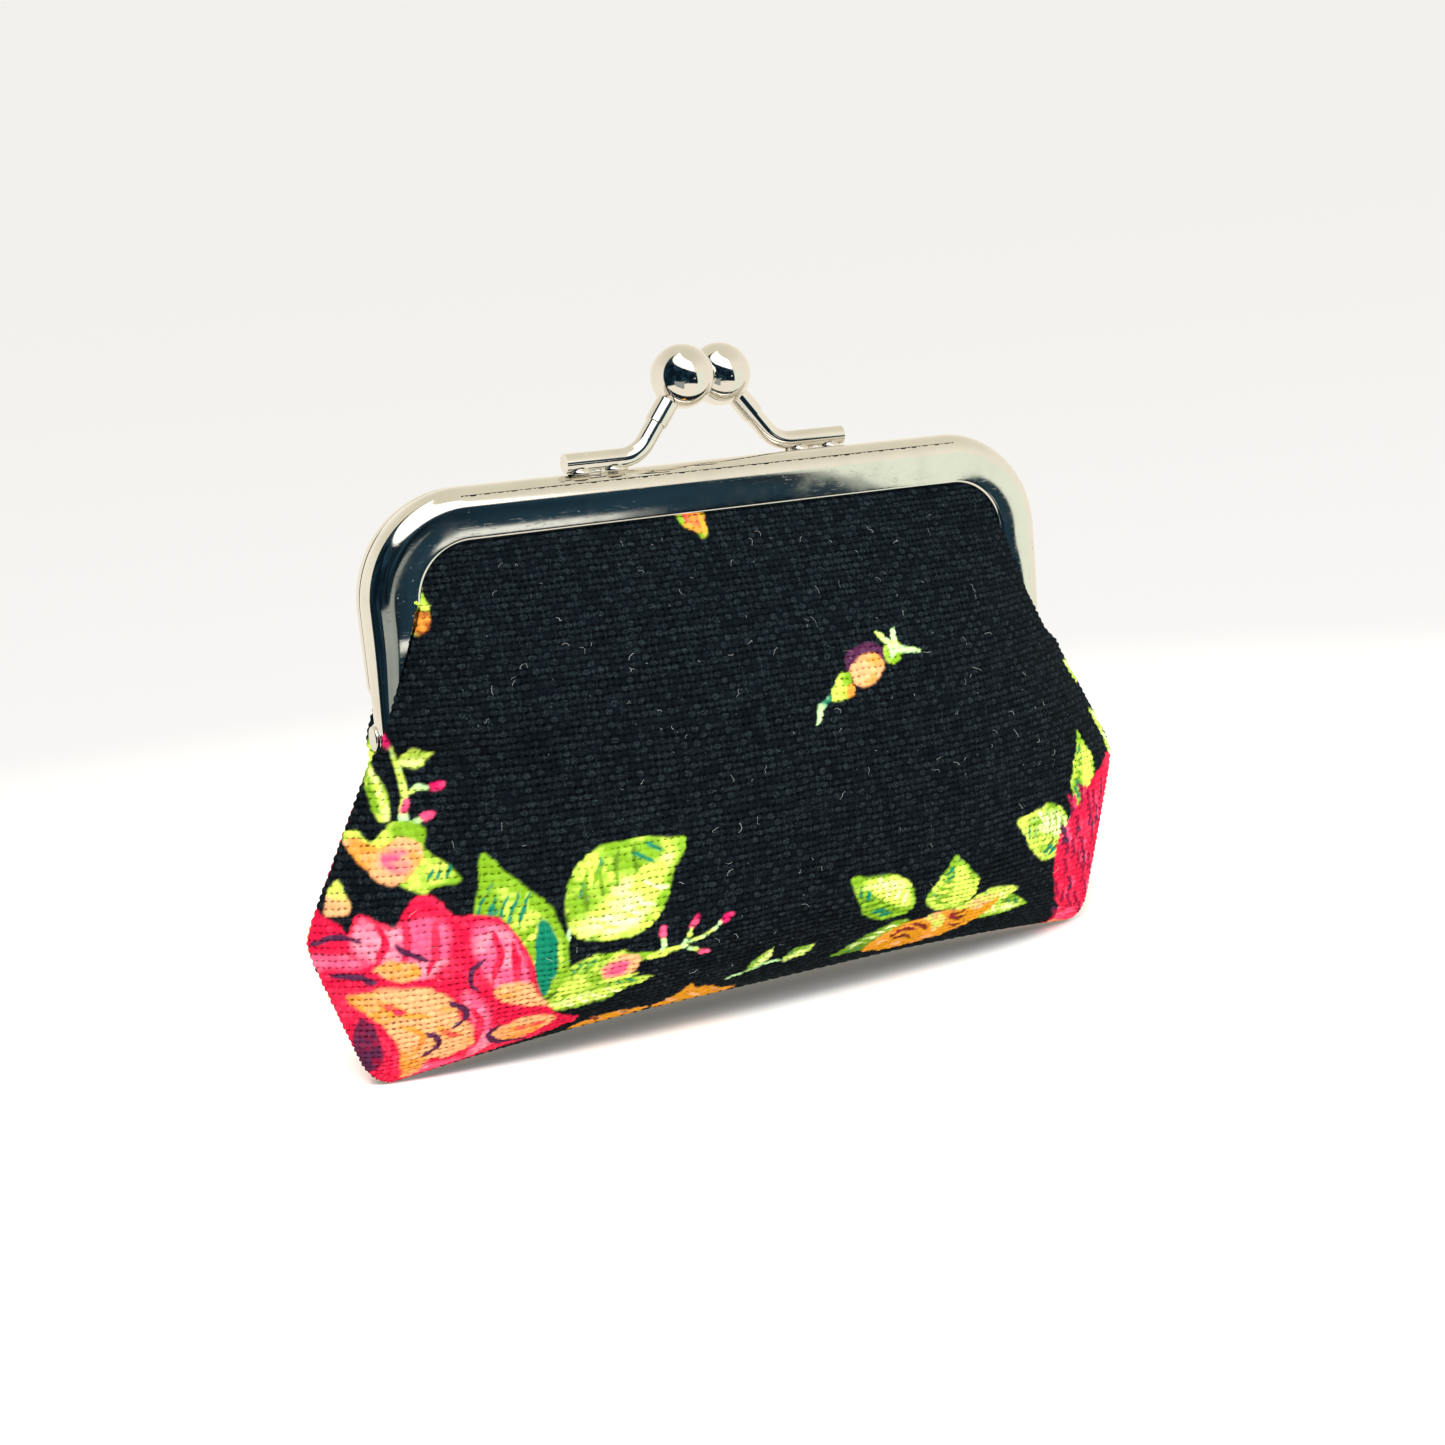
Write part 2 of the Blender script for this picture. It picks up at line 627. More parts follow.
# The outline of the bag at its left (-1) and right (1): half widths at the base, the corner and the waist,
# the corner's height, and heights and half widths where the cloth's edge crosses the leg.
BASE_HALF_WIDTHS = {-1: 47.5, 1: 46.8}
WIDEST = {-1: 53.1, 1: 53.4}
WAISTS = {-1: 42.9, 1: 45.6}
CORNER_HEIGHTS = {-1: 17.2, 1: 21.6}
CROSSINGS = {
    -1: ((35.0, 43.3), (38.4, 42.4), (44.6, 39.6), (52.4, 36.6)),
    1: ((35.0, 45.4), (38.4, 42.3), (44.4, 39.2), (51.4, 36.6)),
}
WAIST_HEIGHT = 36.4
HEEL = 3.2
BASE_ARCH = 2.7
# The heights where the cloth's edge lifts beside the leg and where it ends in the channel's slot, and
# where the slot is.
LIFTING = (34.8, 37.6)
IN_SLOT = (50.4, 52.4)
FACE_EDGE = HALF_WIDTH - FACE_HEIGHT
SLOT_EDGE = 41.2
SLOT_DEPTH = 3.0


def centre_line(count):
    """Rows of the cloth: arc length, half depth and height, evenly spaced."""
    gaps = np.linalg.norm(np.diff(PROFILE, axis=0), axis=1)
    along = np.concatenate([[0.0], np.cumsum(gaps)])
    at = np.linspace(0, along[-1], count)
    return at, spline(along, PROFILE[:, 0], at), spline(along, PROFILE[:, 1], at)


def seam_half_width(z, way):
    """The side seam: out from the base to the widest corner, then in to the waist."""
    corner = CORNER_HEIGHTS[way]
    base, widest, waist = BASE_HALF_WIDTHS[way], WIDEST[way], WAISTS[way]
    lower = base + (widest - base) * z / corner
    upper = widest - (widest - waist) * (z - corner) / (WAIST_HEIGHT - corner)
    width = 0.5 * (lower + upper - np.sqrt((lower - upper) ** 2 + 1.0))
    width = np.maximum(width, waist)
    drop = np.clip(1 - z / HEEL, 0, 1)
    return width - HEEL * (1 - np.sqrt(1 - drop**2)) * 0.8


def mouth_half_width(z):
    """Half the width of the opening in the frame's face."""
    radius = CORNER - FACE_HEIGHT
    rise = np.clip(z - SHOULDER, 0, radius)
    return HALF_WIDTH - CORNER + np.sqrt(np.maximum(radius**2 - rise**2, 0.0))


def slot_half_width(z):
    """Half the width of the cloth where it ends inside the channel."""
    radius = CORNER - (HALF_WIDTH - SLOT_EDGE)
    rise = np.clip(z - SHOULDER, 0, radius * 0.999)
    return HALF_WIDTH - CORNER + np.sqrt(radius**2 - rise**2)


def bulge(width, edge, depth, count):
    """The curve of one row, from the panel's middle at its full depth to its edge."""
    share = 1 - (1 - np.linspace(0, 1, count) ** 0.7) ** 2
    return np.stack([width * share, edge + (depth - edge) * (1 - share**3) ** 0.8], axis=1)


def canvas_tail(z, width, edge, over, slot):
    """The hidden end of a canvas row: a seam allowance, then a curl beside the leg, then in the slot."""
    seam = np.array([(0, 0), (-0.6, 0.05), (-1.1, 0.07), (-1.6, 0.08), (-2.0, 0.08)]) + (width, 0)
    curl = np.array([(0, 0), (-0.25, -0.12), (-0.6, -0.16), (-0.9, -0.17), (-1.2, -0.17)]) + (width, edge)
    slot_x, tuck_x = slot_half_width(z), FACE_EDGE - 0.35
    tucked = np.array([
        (width, edge), (tuck_x, over - 0.12), (tuck_x - 0.2, slot + 0.3), (tuck_x, slot), (slot_x, slot),
    ])
    straight = np.stack([np.linspace(width, slot_x, 5), np.full(5, SLOT_DEPTH)], axis=1)
    tail = seam
    for following, (start, end) in ((curl, LIFTING), (tucked, (41.2, 43.5)), (straight, IN_SLOT)):
        share = float(smooth(z, start, end))
        tail = tail * (1 - share) + following * share
    return tail


def canvas_row(depth, z, way):
    """One row of the canvas from the middle outwards: x and half depth, first panel then hidden tail."""
    face = float(leg_depth(z)) if z < SHOULDER else FACE_DEPTH
    over = face + 0.3
    lifting, inside = float(smooth(z, *LIFTING)), float(smooth(z, *IN_SLOT))
    heights, widths = np.transpose(CROSSINGS[way])
    crossing = float(np.interp(z, heights, widths))
    width = seam_half_width(z, way) * (1 - lifting) + crossing * lifting
    if z > SHOULDER:
        width = mouth_half_width(z)
    edge = over * lifting * (1 - inside) + SLOT_DEPTH * inside
    slot = min(SLOT_DEPTH, face - STEEL - 0.05)
    return bulge(width, edge, max(depth, edge + 0.02), 400), canvas_tail(z, width, edge, over, slot)


def fill_grid(depths, heights, half_columns, tail_columns, side, row):
    """A grid of points from a row function, with its own x to the right and half depth positive."""
    middle = half_columns + tail_columns - 1
    grid = np.zeros((len(depths), 2 * middle + 1, 3))
    for i, (depth, height) in enumerate(zip(depths, heights)):
        for way in (-1, 1):
            panel, tail = row(depth, height, -way * side)
            half = np.concatenate([resample(panel, half_columns), resample(tail, tail_columns + 1)[1:]])
            columns = middle + way * np.arange(len(half))
            grid[i, columns, 0] = way * half[:, 0]
            grid[i, columns, 1] = half[:, 1]
            grid[i, columns, 2] = height
    grid[..., 2] += base_arch(grid)
    return grid


def base_arch(grid):
    """The fold under the purse bows up between its two lower corners, which it stands on."""
    across = np.clip(np.abs(grid[..., 0]) / 46.5, 0, 1)
    return BASE_ARCH * (1 - across**3) * smooth(grid[..., 2], 15.0, 0.0)


def outward_normals(grid):
    normals = unit(np.cross(np.gradient(grid, axis=0), np.gradient(grid, axis=1)))
    return -normals if np.sum(normals[..., 1] * grid[..., 1]) < 0 else normals


# --- print ----------------------------------------------------------------------------------------

# The print is a generic garden pattern: roses, buds, leaves and sprigs on black. Each motif is drawn
# in its own millimetres about (0, 0), then placed, turned and sized on the flat cloth.

BLACK = rgb(7, 14, 20)[:3]
CRIMSON = rgb(224, 22, 66)[:3]
SCARLET = rgb(246, 46, 84)[:3]
WINE = rgb(160, 14, 58)[:3]
PINK = rgb(248, 92, 134)[:3]
BLUSH = rgb(255, 146, 168)[:3]
PEACH = rgb(252, 180, 124)[:3]
AMBER = rgb(248, 158, 62)[:3]
GOLD = rgb(226, 152, 24)[:3]
RUST = rgb(124, 50, 20)[:3]
PLUM = rgb(84, 36, 70)[:3]
GREEN = rgb(130, 178, 34)[:3]
LIME = rgb(214, 240, 96)[:3]
CREAM = rgb(246, 255, 182)[:3]
OLIVE = rgb(94, 134, 28)[:3]
TEAL = rgb(12, 126, 96)[:3]
PALE = rgb(196, 242, 170)[:3]
MAGENTA = rgb(214, 22, 96)[:3]


class Painter:
    """Paints shapes on a scatter of points of the flat cloth."""

    def __init__(self, across, up, seed):
        wander = 0.22
        self.x = (across + wander * lattice_noise(across / 1.3, up / 1.3, seed)).ravel()
        self.y = (up + wander * lattice_noise(across / 1.3, up / 1.3, seed + 1)).ravel()
        self.grain = lattice_noise(across / 0.9, up / 0.55, seed + 2).ravel()
        self.cloud = lattice_noise(across / 3.1, up / 2.3, seed + 3).ravel()
        self.colour = np.tile(np.array(BLACK), (self.x.size, 1))
        self.place((0, 0))

    def place(self, at, turn=0.0, size=1.0, mirror=1.0):
        """Says where the next motif goes, in millimetres and degrees."""
        c, s = math.cos(math.radians(turn)), math.sin(math.radians(turn))
        self.matrix = size * np.array([[c * mirror, s * mirror], [-s, c]])
        self.at = np.array(at, float)
        self.size = size

    def world(self, points):
        return np.asarray(points, float) @ self.matrix + self.at

    def near(self, points, margin):
        low, high = points.min(0) - margin, points.max(0) + margin
        beside = (self.x > low[0]) & (self.x < high[0])
        return np.nonzero(beside & (self.y > low[1]) & (self.y < high[1]))[0]

    def lay(self, which, amount, colour, second=None):
        """Mixes a colour in, with its second shade where the paint is uneven."""
        colour = np.array(colour, float)
        if second is not None:
            share = smooth(self.cloud[which] + 0.5 * self.grain[which], -0.2, 0.8)[:, None]
            colour = colour * (1 - share) + np.array(second, float) * share
        amount = np.clip(amount, 0, 1)[:, None]
        self.colour[which] = self.colour[which] * (1 - amount) + colour * amount

    def blob(self, points, colour, second=None, soft=0.18):
        """A closed smooth outline, filled."""
        outline = self.world(closed_curve(points))
        which = self.near(outline, soft)
        if not len(which):
            return
        distance = inside_distance(self.x[which], self.y[which], outline)
        self.lay(which, smooth(distance, -soft, soft), colour, second)

    def stroke(self, points, width, colour, second=None):
        """A brush line through the points, thick in the middle and thin at its ends."""
        line = self.world(open_curve(points))
        width = width * self.size
        which = self.near(line, width)
        if not len(which):
            return
        distance, along = line_distance(self.x[which], self.y[which], line)
        reach = 0.5 * width * (0.35 + 0.65 * np.sin(np.pi * np.clip(along, 0, 1)) ** 0.6)
        self.lay(which, smooth(reach - distance, -0.12, 0.12), colour, second)


def closed_curve(points, steps=6):
    points = np.asarray(points, float)
    a, b, c, d = np.roll(points, 1, 0), points, np.roll(points, -1, 0), np.roll(points, -2, 0)
    return curve_between(a, b, c, d, steps)


def open_curve(points, steps=6):
    points = np.asarray(points, float)
    padded = np.concatenate([2 * points[:1] - points[1:2], points, 2 * points[-1:] - points[-2:-1]])
    line = curve_between(padded[:-3], padded[1:-2], padded[2:-1], padded[3:], steps)
    return np.concatenate([line, points[-1:]])


def curve_between(a, b, c, d, steps):
    """A rounded line from each b to c, with a and d as the points before and after."""
    t = np.linspace(0, 1, steps, endpoint=False)[None, :, None]
    a, b, c, d = (p[:, None, :] for p in (a, b, c, d))
    line = 0.5 * (
        2 * b + (c - a) * t + (2 * a - 5 * b + 4 * c - d) * t**2 + (3 * b - a - 3 * c + d) * t**3
    )
    return line.reshape(-1, 2)


def line_distance(x, y, line):
    """The distance to an open line, and how far along it the nearest place is, from 0 to 1."""
    best = np.full(x.shape, 1e9)
    place = np.zeros(x.shape)
    gaps = np.linalg.norm(np.diff(line, axis=0), axis=1)
    along = np.concatenate([[0.0], np.cumsum(gaps)])
    for k in range(len(gaps)):
        (ax, ay), (bx, by) = line[k], line[k + 1]
        run = max(gaps[k] ** 2, 1e-12)
        t = np.clip(((x - ax) * (bx - ax) + (y - ay) * (by - ay)) / run, 0, 1)
        gap = np.hypot(x - ax - t * (bx - ax), y - ay - t * (by - ay))
        nearer = gap < best
        best = np.where(nearer, gap, best)
        place = np.where(nearer, (along[k] + t * gaps[k]) / along[-1], place)
    return best, place


def inside_distance(x, y, outline):
    """The distance to a closed outline, positive inside it."""
    closed = np.concatenate([outline, outline[:1]])
    distance, _ = line_distance(x, y, closed)
    inside = np.zeros(x.shape, bool)
    for (ax, ay), (bx, by) in zip(closed[:-1], closed[1:]):
        if ay == by:
            continue
        crosses = (ay > y) != (by > y)
        inside ^= crosses & (x < (bx - ax) * (y - ay) / (by - ay) + ax)
    return np.where(inside, distance, -distance)


def paint_leaf(painter, at, tip, width, light=LIME, dark=GREEN, shade=TEAL, gloss=CREAM):
    """A pointed leaf from its stalk at one place to its tip at another."""
    run = np.array(tip, float) - np.array(at, float)
    length = math.hypot(*run)
    painter.place(at, math.degrees(math.atan2(run[1], run[0])) - 90.0)
    w, h = width, length
    painter.blob(
        [(0, 0), (-0.34 * w, 0.10 * h), (-0.52 * w, 0.36 * h), (-0.40 * w, 0.64 * h), (-0.14 * w, 0.88 * h),
         (0.03 * w, h), (0.20 * w, 0.82 * h), (0.46 * w, 0.58 * h), (0.48 * w, 0.30 * h),
         (0.26 * w, 0.07 * h)],
        dark, light)
    painter.blob(
        [(0.04 * w, 0.05 * h), (0.26 * w, 0.12 * h), (0.40 * w, 0.34 * h), (0.32 * w, 0.58 * h),
         (0.08 * w, 0.84 * h), (-0.06 * w, 0.60 * h), (-0.04 * w, 0.30 * h)], light, gloss, soft=0.5)
    thin = min(0.5, 0.06 * w + 0.12)
    for share in (0.16, 0.30, 0.44, 0.58):
        reach = 0.40 * math.sin(math.pi * (0.15 + 0.75 * (share + 0.15)))
        line = [(0.04 * w, share * h), (0.6 * reach * w, (share + 0.05) * h),
                (0.9 * reach * w, (share + 0.12) * h)]
        painter.stroke(line, thin, gloss, light)
        line = [(-0.06 * w, share * h), (-0.6 * reach * w, (share + 0.06) * h),
                (-0.9 * reach * w, (share + 0.13) * h)]
        painter.stroke(line, thin, OLIVE, dark)
    for share in (0.10, 0.22):
        painter.stroke([(-0.40 * w, (share + 0.22) * h),
                        (-0.22 * w, (share + 0.08) * h)], thin * 1.2, shade, dark)
    for share in (0.66, 0.77):
        painter.stroke([(-0.02 * w, (share + 0.05) * h),
                        (-0.22 * w, (share - 0.02) * h)], thin, shade, dark)
    painter.place((0, 0))


def paint_rose(painter, at, turn=0.0, size=1.0, mirror=1.0):
    """A full rose seen from the side: pink and crimson outer petals, peach inside, a plum heart."""
    painter.place(at, turn, size, mirror)
    painter.blob(
        [(-14, 10.4), (-9.4, 10.0), (-8.0, 8.8), (-6.8, 10.6), (-3.8, 9.6), (-2.6, 9.2), (-0.8, 12.0),
         (1.2, 12.2),
         (3.4, 9.9), (5.6, 9.4), (8.2, 8.6), (10.2, 6.2), (11.4, 2.4), (12.2, -1.6), (14.2, -5.4),
         (17.2, -8.4),
         (13.6, -9.8), (9.4, -11.0), (3.4, -12.8), (-4.0, -15.4), (-11, -14), (-15, -4)],
        CRIMSON, SCARLET)
    for petal in (
        [(-6.6, 9.8), (-3.2, 9.0), (0.8, 9.8), (2.8, 8.2), (2.2, 4.8), (-0.4, 2.8), (-3.2, 4.6),
         (-7.4, 6.4)],
        [(5.2, 8.2), (8.6, 7.6), (10.2, 4.4), (10.8, 0.4), (8.4, -0.8), (6.8, 1.6), (5.4, 4.6)],
        [(3.8, 0.8), (6.0, -1.4), (7.2, -5.6), (7.4, -9.4), (5.0, -11.4), (5.6, -6.4), (4.4, -2.6)],
        [(-13.4, 6.4), (-9.0, 6.4), (-6.2, 5.4), (-8.6, 4.9), (-13.4, 5.2)],
        [(-1.2, -10.2), (2.6, -10.2), (4.8, -11.6), (1.2, -12.8), (-1.6, -12.4)],
    ):
        painter.blob(petal, PINK, BLUSH, soft=0.5)
    for fold in (
        [(-4.6, 9.6), (-4.2, 7.4), (-5.2, 5.2)], [(-1.8, 9.6), (-1.6, 7.0), (-2.6, 4.8)],
        [(1.4, 9.4), (1.2, 6.2), (0.2, 3.6)], [(7.4, 7.4), (7.8, 4.4), (7.0, 1.6)],
        [(9.2, 6.2), (9.6, 3.0), (9.2, 0.2)],
        [(-8.2, 0.4), (-7.4, -3.0), (-8.4, -7.4)], [(-5.0, -3.6), (-3.8, -8.0), (-3.6, -12.6)],
        [(-11.4, 2.4), (-8.6, 1.6), (-5.6, 2.6)], [(4.8, -1.8), (5.8, -4.6), (5.6, -8.4)],
    ):
        painter.stroke(fold, 0.9, SCARLET, CRIMSON)
    for petal in (
        [(-8.8, 1.4), (-4.4, 2.2), (0.2, 1.6), (3.0, -0.4), (3.4, -3.2), (5.0, -4.8), (5.2, -8.0),
         (2.8, -9.4),
         (0.4, -9.0), (-0.2, -12.2), (-2.2, -12.4), (-2.6, -7.2), (-4.4, -3.0), (-6.6, -0.6)],
        [(-5.6, 4.4), (-3.6, 5.4), (-1.0, 4.8), (-0.6, 3.2), (-3.0, 3.0)],
        [(7.2, 0.4), (10.6, 0.8), (12.0, -1.8), (13.4, -4.0), (10.0, -2.8), (7.8, -1.4)],
        [(7.4, -6.6), (10.6, -5.2), (14.2, -6.2), (13.0, -8.2), (9.6, -9.6), (7.6, -8.6)],
    ):
        painter.blob(petal, PEACH, AMBER, soft=0.3)
    for fold in (
        [(-5.4, 0.8), (-2.2, -1.2), (0.6, -2.0)], [(-3.0, -2.4), (-0.6, -4.4), (-1.2, -7.6)],
        [(1.0, -3.6), (2.6, -5.2), (4.2, -6.0)], [(9.0, -6.6), (11.0, -7.2), (13.0, -6.8)],
    ):
        painter.stroke(fold, 0.8, AMBER, SCARLET)
    painter.blob(
        [(-7.4, -1.2), (-6.0, -2.0), (-5.0, -4.6), (-4.6, -7.8), (-6.0, -9.2), (-7.6, -7.6),
         (-8.2, -4.6)], PLUM, WINE)
    for line in (
        [(-12.6, 7.8), (-9.2, 8.4), (-6.4, 7.8)], [(-10.6, 4.2), (-7.6, 3.9), (-5.4, 3.0)],
        [(-3.0, 7.2), (-1.4, 6.0), (0.4, 5.2)], [(6.4, 4.6), (4.9, 3.4), (4.8, 1.6), (5.6, 0.4)],
        [(2.4, -0.2), (3.9, -1.6), (4.0, -3.4), (2.8, -4.4)],
        [(-0.2, -4.2), (1.2, -5.4), (1.2, -7.0), (-0.2, -8.2)],
        [(8.2, -5.6), (7.0, -7.2), (8.4, -9.2), (11.4, -10.0)],
    ):
        painter.stroke(line, 0.8, PLUM)
    painter.place((0, 0))


def paint_bud(painter, at, turn, size, heart, petal, stem=0.0):
    """A closed bud in green sepals, pointing up before it is turned, on an optional stem."""
    painter.place(at, turn, size)
    if stem:
        painter.stroke([(0, -3.0), (-0.6, -3.0 - stem * 0.5), (0.3, -3.0 - stem)], 0.8, PALE)
    painter.blob([(-1.2, -3.6), (1.2, -3.6), (2.0, -1.2), (1.1, 0.6), (-1.2, 0.5),
                  (-2.0, -1.4)], GREEN, LIME)
    painter.blob([(-1.9, -1.2), (-2.5, 1.0), (-1.3, 3.2), (0.7, 3.6), (2.3, 1.6), (2.0, -1.0),
                  (0, -2.0)], petal, heart)
    painter.blob([(-0.8, -1.2), (-1.3, 1.0), (0, 2.2), (1.2, 0.9), (0.6, -1.3)], heart, petal, soft=0.4)
    for way in (-1, 1):
        painter.blob([(way * 1.3, -2.8), (way * 2.6, -0.4), (way * 2.7, 2.6),
                      (way * 1.9, 0.6)], LIME, GREEN)
    painter.place((0, 0))


def paint_tips(painter, start, tips, width=0.55):
    """Thin pale stems from one place, each with a magenta tip."""
    for x, y in tips:
        middle = (0.5 * (start[0] + x) + 0.2, 0.5 * (start[1] + y))
        painter.stroke([start, middle, (x, y)], width, PALE, LIME)
        painter.place((x, y), math.degrees(math.atan2(y - start[1], x - start[0])) - 90.0)
        painter.blob([(-0.35, -0.5), (0.35, -0.5), (0.45, 0.6), (0, 1.1), (-0.45, 0.6)], MAGENTA, PINK)
        painter.place((0, 0))


def paint_gold_flower(painter, at, turn=0.0, size=1.0):
    """A ruffled golden flower with rust folds."""
    painter.place(at, turn, size)
    painter.blob(
        [(-8.4, -3.0), (-7.0, -0.4), (-5.0, 1.4), (-2.6, 2.2), (-0.4, 2.0), (1.6, 2.9), (4.2, 2.8),
         (7.6, 4.2),
         (9.8, 3.6), (8.6, 1.4), (6.4, -0.8), (3.4, -2.6), (-1.0, -3.8), (-5.0, -4.0)],
        GOLD, AMBER)
    painter.blob([(-1.6, 2.2), (0.2, 0.6), (1.2, -1.6), (2.2, -0.2), (1.8, 1.8), (0.4, 2.8)], LIME, PEACH)
    painter.blob([(3.0, 3.0), (6.4, 4.2), (9.8, 4.2), (8.2, 2.8), (5.2, 2.4)], LIME, PEACH)
    for fold in (
        [(-5.4, -0.8), (-3.8, 0.4), (-1.8, -0.2)], [(-4.8, -1.4), (-3.2, -1.0), (-1.8, -2.2)],
        [(-2.8, 1.2), (-1.2, 0.6), (0.0, -0.6)], [(2.6, 1.4), (4.0, 0.8), (5.2, 1.2)],
        [(3.2, -0.2), (4.4, -0.8), (5.4, -0.2)], [(2.4, 2.2), (3.4, 1.8), (4.8, 2.2)],
    ):
        painter.stroke(fold, 0.8, RUST, WINE)
    for x, y in ((-6.2, -1.8), (-3.6, -2.8), (0.6, -2.6), (6.6, 2.2), (7.8, 3.0)):
        painter.blob([(x - 0.8, y), (x, y + 0.4), (x + 0.9, y + 0.3), (x, y - 0.4)], PEACH)
    painter.place((0, 0))


def paint_left_corner(painter):
    """The large rose with its leaves, the bud over it and the stem with thin tips."""
    paint_leaf(painter, (-30.4, 14.2), (-36.0, 32.6), 9.6, GREEN, GREEN, TEAL, LIME)
    painter.blob([(-30.6, 25.0), (-29.2, 23.4), (-29.0, 18.8), (-30.8, 13.8), (-31.6, 18.0),
                  (-31.4, 22.4)], TEAL)
    for x in (-37.6, -36.4, -35.2, -34.0, -32.8):
        painter.stroke([(x, 24.4), (x + 0.6, 26.4), (x + 1.4, 28.0)], 0.42, TEAL)
    paint_rose(painter, (-43.0, 16.8))
    painter.blob([(-53.6, 27.8), (-52.2, 31.0), (-50.6, 28.6), (-51.4, 27.4)], PEACH, LIME)
    painter.stroke([(-43.9, 44.6), (-43.4, 40.6), (-43.9, 36.4)], 0.75, PALE, LIME)
    paint_tips(painter, (-43.6, 39.6), [(-39.9, 40.0)])
    paint_tips(painter, (-43.8, 36.2), [(-41.3, 37.0), (-43.4, 38.0)])
    paint_tips(painter, (-43.9, 43.6), [(-44.4, 45.0)])
    paint_leaf(painter, (-43.2, 42.6), (-39.4, 43.4), 1.9, LIME, LIME, GREEN)
    paint_leaf(painter, (-45.8, 36.6), (-47.4, 43.0), 2.3, LIME, GREEN, GREEN)
    painter.blob([(-51.6, 35.6), (-49.4, 36.0), (-47.4, 34.8), (-45.0, 36.6), (-41.8, 36.0), (-41.6, 33.6),
                  (-39.0, 31.4), (-38.6, 30.2), (-40.6, 29.9), (-42.4, 29.2), (-45.0, 30.4),
                  (-48.6, 33.2)], GREEN, LIME)
    painter.blob([(-51.0, 34.9), (-48.4, 34.9), (-46.6, 34.2), (-44.6, 35.0), (-42.4, 34.4), (-42.2, 32.6),
                  (-44.0, 30.9), (-46.6, 30.3), (-48.4, 32.0)], PEACH, AMBER)
    painter.blob([(-46.2, 33.8), (-43.8, 33.4), (-43.6, 32.0), (-45.4, 31.4),
                  (-47.0, 32.6)], PINK, PEACH, soft=0.5)
    for x in (-42.0, -41.0, -40.0):
        painter.stroke([(x, 30.6), (x + 0.7, 31.8)], 0.4, TEAL)


def paint_low_middle(painter):
    """The pale leaf, the small bud on its stem, and the strip of golden petals on the lower edge."""
    paint_leaf(painter, (-27.4, 23.2), (-13.8, 31.2), 10.4)
    painter.stroke([(-27.2, 23.4), (-28.2, 21.8), (-28.4, 20.6)], 0.5, PALE)
    paint_leaf(painter, (-30.4, 12.8), (-18.0, 14.4), 4.4, LIME, GREEN)
    paint_leaf(painter, (-29.0, 15.8), (-18.4, 18.4), 5.2, LIME, GREEN, TEAL, LIME)
    paint_bud(painter, (-22.6, 16.8), -70, 0.82, PINK, PEACH)
    painter.stroke([(-19.4, 17.8), (-16.4, 18.2), (-14.2, 18.4)], 1.0, LIME, GREEN)
    paint_tips(painter, (-17.4, 18.2), [(-17.2, 20.8)])
    paint_tips(painter, (-15.0, 18.4), [(-13.6, 21.2), (-9.6, 20.9), (-12.4, 16.9)])
    painter.blob([(-26.0, 6.2), (-22.4, 7.4), (-19.2, 7.4), (-17.0, 6.4), (-19.0, 5.0),
                  (-25.0, 4.8)], GOLD, AMBER)
    painter.blob([(-16.4, 6.6), (-14.8, 7.6), (-13.6, 9.2), (-12.8, 10.4), (-11.8, 9.2), (-10.2, 8.8),
                  (-8.6, 7.4),
                  (-6.0, 6.4), (-8.0, 5.0), (-15.0, 5.0)], GOLD, AMBER)
    for x in (-24.0, -20.8, -15.0, -12.2, -9.4):
        painter.stroke([(x, 7.6), (x + 0.9, 6.6), (x + 1.8, 6.2)], 0.6, PEACH, RUST)
    paint_leaf(painter, (-5.6, 10.6), (-3.2, 14.6), 2.0, LIME, GREEN)
    paint_leaf(painter, (-1.6, 11.2), (2.4, 13.2), 2.0, LIME, GREEN)
    painter.stroke([(-8.4, 9.6), (-5.0, 10.8), (-1.4, 11.4)], 0.5, GREEN, PALE)


